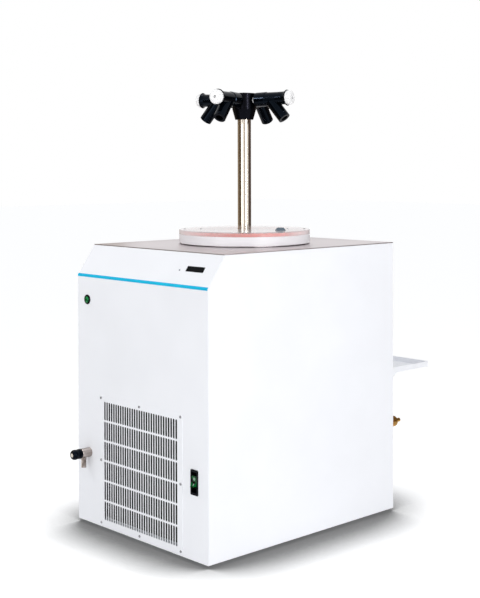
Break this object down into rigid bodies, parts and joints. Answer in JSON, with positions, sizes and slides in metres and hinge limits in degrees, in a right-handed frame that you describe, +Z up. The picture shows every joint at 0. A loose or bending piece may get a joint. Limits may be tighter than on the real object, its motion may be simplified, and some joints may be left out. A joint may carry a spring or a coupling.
{
  "type": "freeze dryer",
  "caption": "Floor-standing laboratory freeze dryer: white cabinet with a front air grille, clear round lid over the cold chamber, and a steel tube carrying a rubber-valve flask manifold.",
  "frame": {"origin": "middle of the floor rectangle that the whole unit covers, drain valve and rear shelf included, at floor level", "axes": "+Z up, -Y towards the front with the controls, +X to the right seen from the front"},
  "size_m": [0.5, 0.884, 1.1029],
  "materials": {
    "white_enamel": "satin powder coat",
    "stainless_steel": "fine brushed",
    "galvanised_sheet": "dull spangle",
    "cyan_vinyl": "gloss film",
    "black_plastic": "moulded, semi-gloss",
    "dark_window": "gloss, tinted",
    "black_rubber": "moulded, soft sheen",
    "white_plastic": "moulded, semi-gloss",
    "green_lens": "translucent, gloss",
    "clear_acrylic": "polished, clear",
    "milky_plastic": "milky, translucent",
    "red_silicone": "soft satin",
    "grey_rubber": "matt",
    "brass": "turned",
    "copper": "drawn tube",
    "aluminium_fins": "mill finish",
    "black_enamel": "gloss",
    "grey_foam": "skinned foam",
    "clear_hose": "translucent silicone",
    "plated_screws": "nickel plated",
    "red_lamp": "moulded lens"
  },
  "bodies": {
    "cabinet": {"base_tray": "galvanised_sheet", "feet": "black_rubber", "front_panel": "white_enamel", "left_side_panel": "white_enamel", "right_side_panel": "white_enamel", "rear_panel": "white_enamel", "top_plate": "stainless_steel", "rear_screws": "plated_screws", "trim_stripe": "cyan_vinyl", "intake_grille": "white_enamel", "grille_screws": "plated_screws", "display_window": "dark_window", "status_led": "red_lamp", "controller_box": "black_plastic", "button_bezel": "black_plastic", "switch_frame": "black_plastic", "drain_valve_body": "stainless_steel", "drain_valve_nut": "stainless_steel", "condenser_chamber": "stainless_steel", "rim_gasket": "black_rubber", "insulation_jacket": "grey_foam", "evaporator_coil": "stainless_steel", "lid_collar": "milky_plastic", "lid_plate": "clear_acrylic", "lid_seal": "red_silicone", "lid_screws": "plated_screws", "vent_plug": "grey_rubber", "manifold_tube": "stainless_steel", "tube_nut": "white_plastic", "manifold_hub": "black_plastic", "hub_nozzles": "white_plastic", "rear_shelf": "white_enamel", "vacuum_nozzle": "brass", "power_inlet": "black_plastic", "compressor": "black_enamel", "compressor_mounts": "black_rubber", "fin_coil": "aluminium_fins", "fan_shroud": "galvanised_sheet", "fan_motor": "black_enamel", "filter_drier": "copper", "discharge_line": "copper", "liquid_line": "copper", "expansion_line": "copper", "suction_line": "copper", "drain_hose": "clear_hose", "vacuum_line": "stainless_steel", "valve_body_1": "black_rubber", "valve_body_2": "black_rubber", "valve_body_3": "black_rubber", "valve_body_4": "black_rubber"},
    "drain_handle": {"drain_spindle": "stainless_steel", "drain_knob": "black_rubber"},
    "power_switch": {"power_rocker": "green_lens"},
    "push_button": {"button_cap": "green_lens"},
    "fan": {"fan_rotor": "black_plastic"},
    "knob_1": {"valve_knob_1": "white_plastic"},
    "knob_2": {"valve_knob_2": "white_plastic"},
    "knob_3": {"valve_knob_3": "white_plastic"},
    "knob_4": {"valve_knob_4": "white_plastic"}
  },
  "joints": [
    {"name": "drain_turn", "type": "hinge", "parent": "cabinet", "child": "drain_handle", "pos_m": [-0.203, -0.423, 0.1855], "axis": [0, -1, 0], "range_deg": [0, 90]},
    {"name": "power_rock", "type": "hinge", "parent": "cabinet", "child": "power_switch", "pos_m": [0.2035, -0.382, 0.188], "axis": [1, 0, 0], "range_deg": [0, 24]},
    {"name": "button_press", "type": "slide", "parent": "cabinet", "child": "push_button", "axis": [0, 1, 0], "range_m": [0, 0.003], "stiffness_N_per_m": 600},
    {"name": "fan_spin", "type": "hinge", "parent": "cabinet", "child": "fan", "pos_m": [0, -0.303, 0.173], "axis": [0, 1, 0], "continuous": true},
    {"name": "valve_turn_1", "type": "hinge", "parent": "cabinet", "child": "knob_1", "pos_m": [0.10593, -0.00862, 1.08184], "axis": [0.963, 0.2671, 0.0349], "continuous": true},
    {"name": "valve_turn_2", "type": "hinge", "parent": "cabinet", "child": "knob_2", "pos_m": [-0.02938, 0.06793, 1.08184], "axis": [-0.2671, 0.963, 0.0349], "continuous": true},
    {"name": "valve_turn_3", "type": "hinge", "parent": "cabinet", "child": "knob_3", "pos_m": [-0.10593, -0.06738, 1.08184], "axis": [-0.963, -0.2671, 0.0349], "continuous": true},
    {"name": "valve_turn_4", "type": "hinge", "parent": "cabinet", "child": "knob_4", "pos_m": [0.02938, -0.14393, 1.08184], "axis": [0.2671, -0.963, 0.0349], "continuous": true}
  ]
}
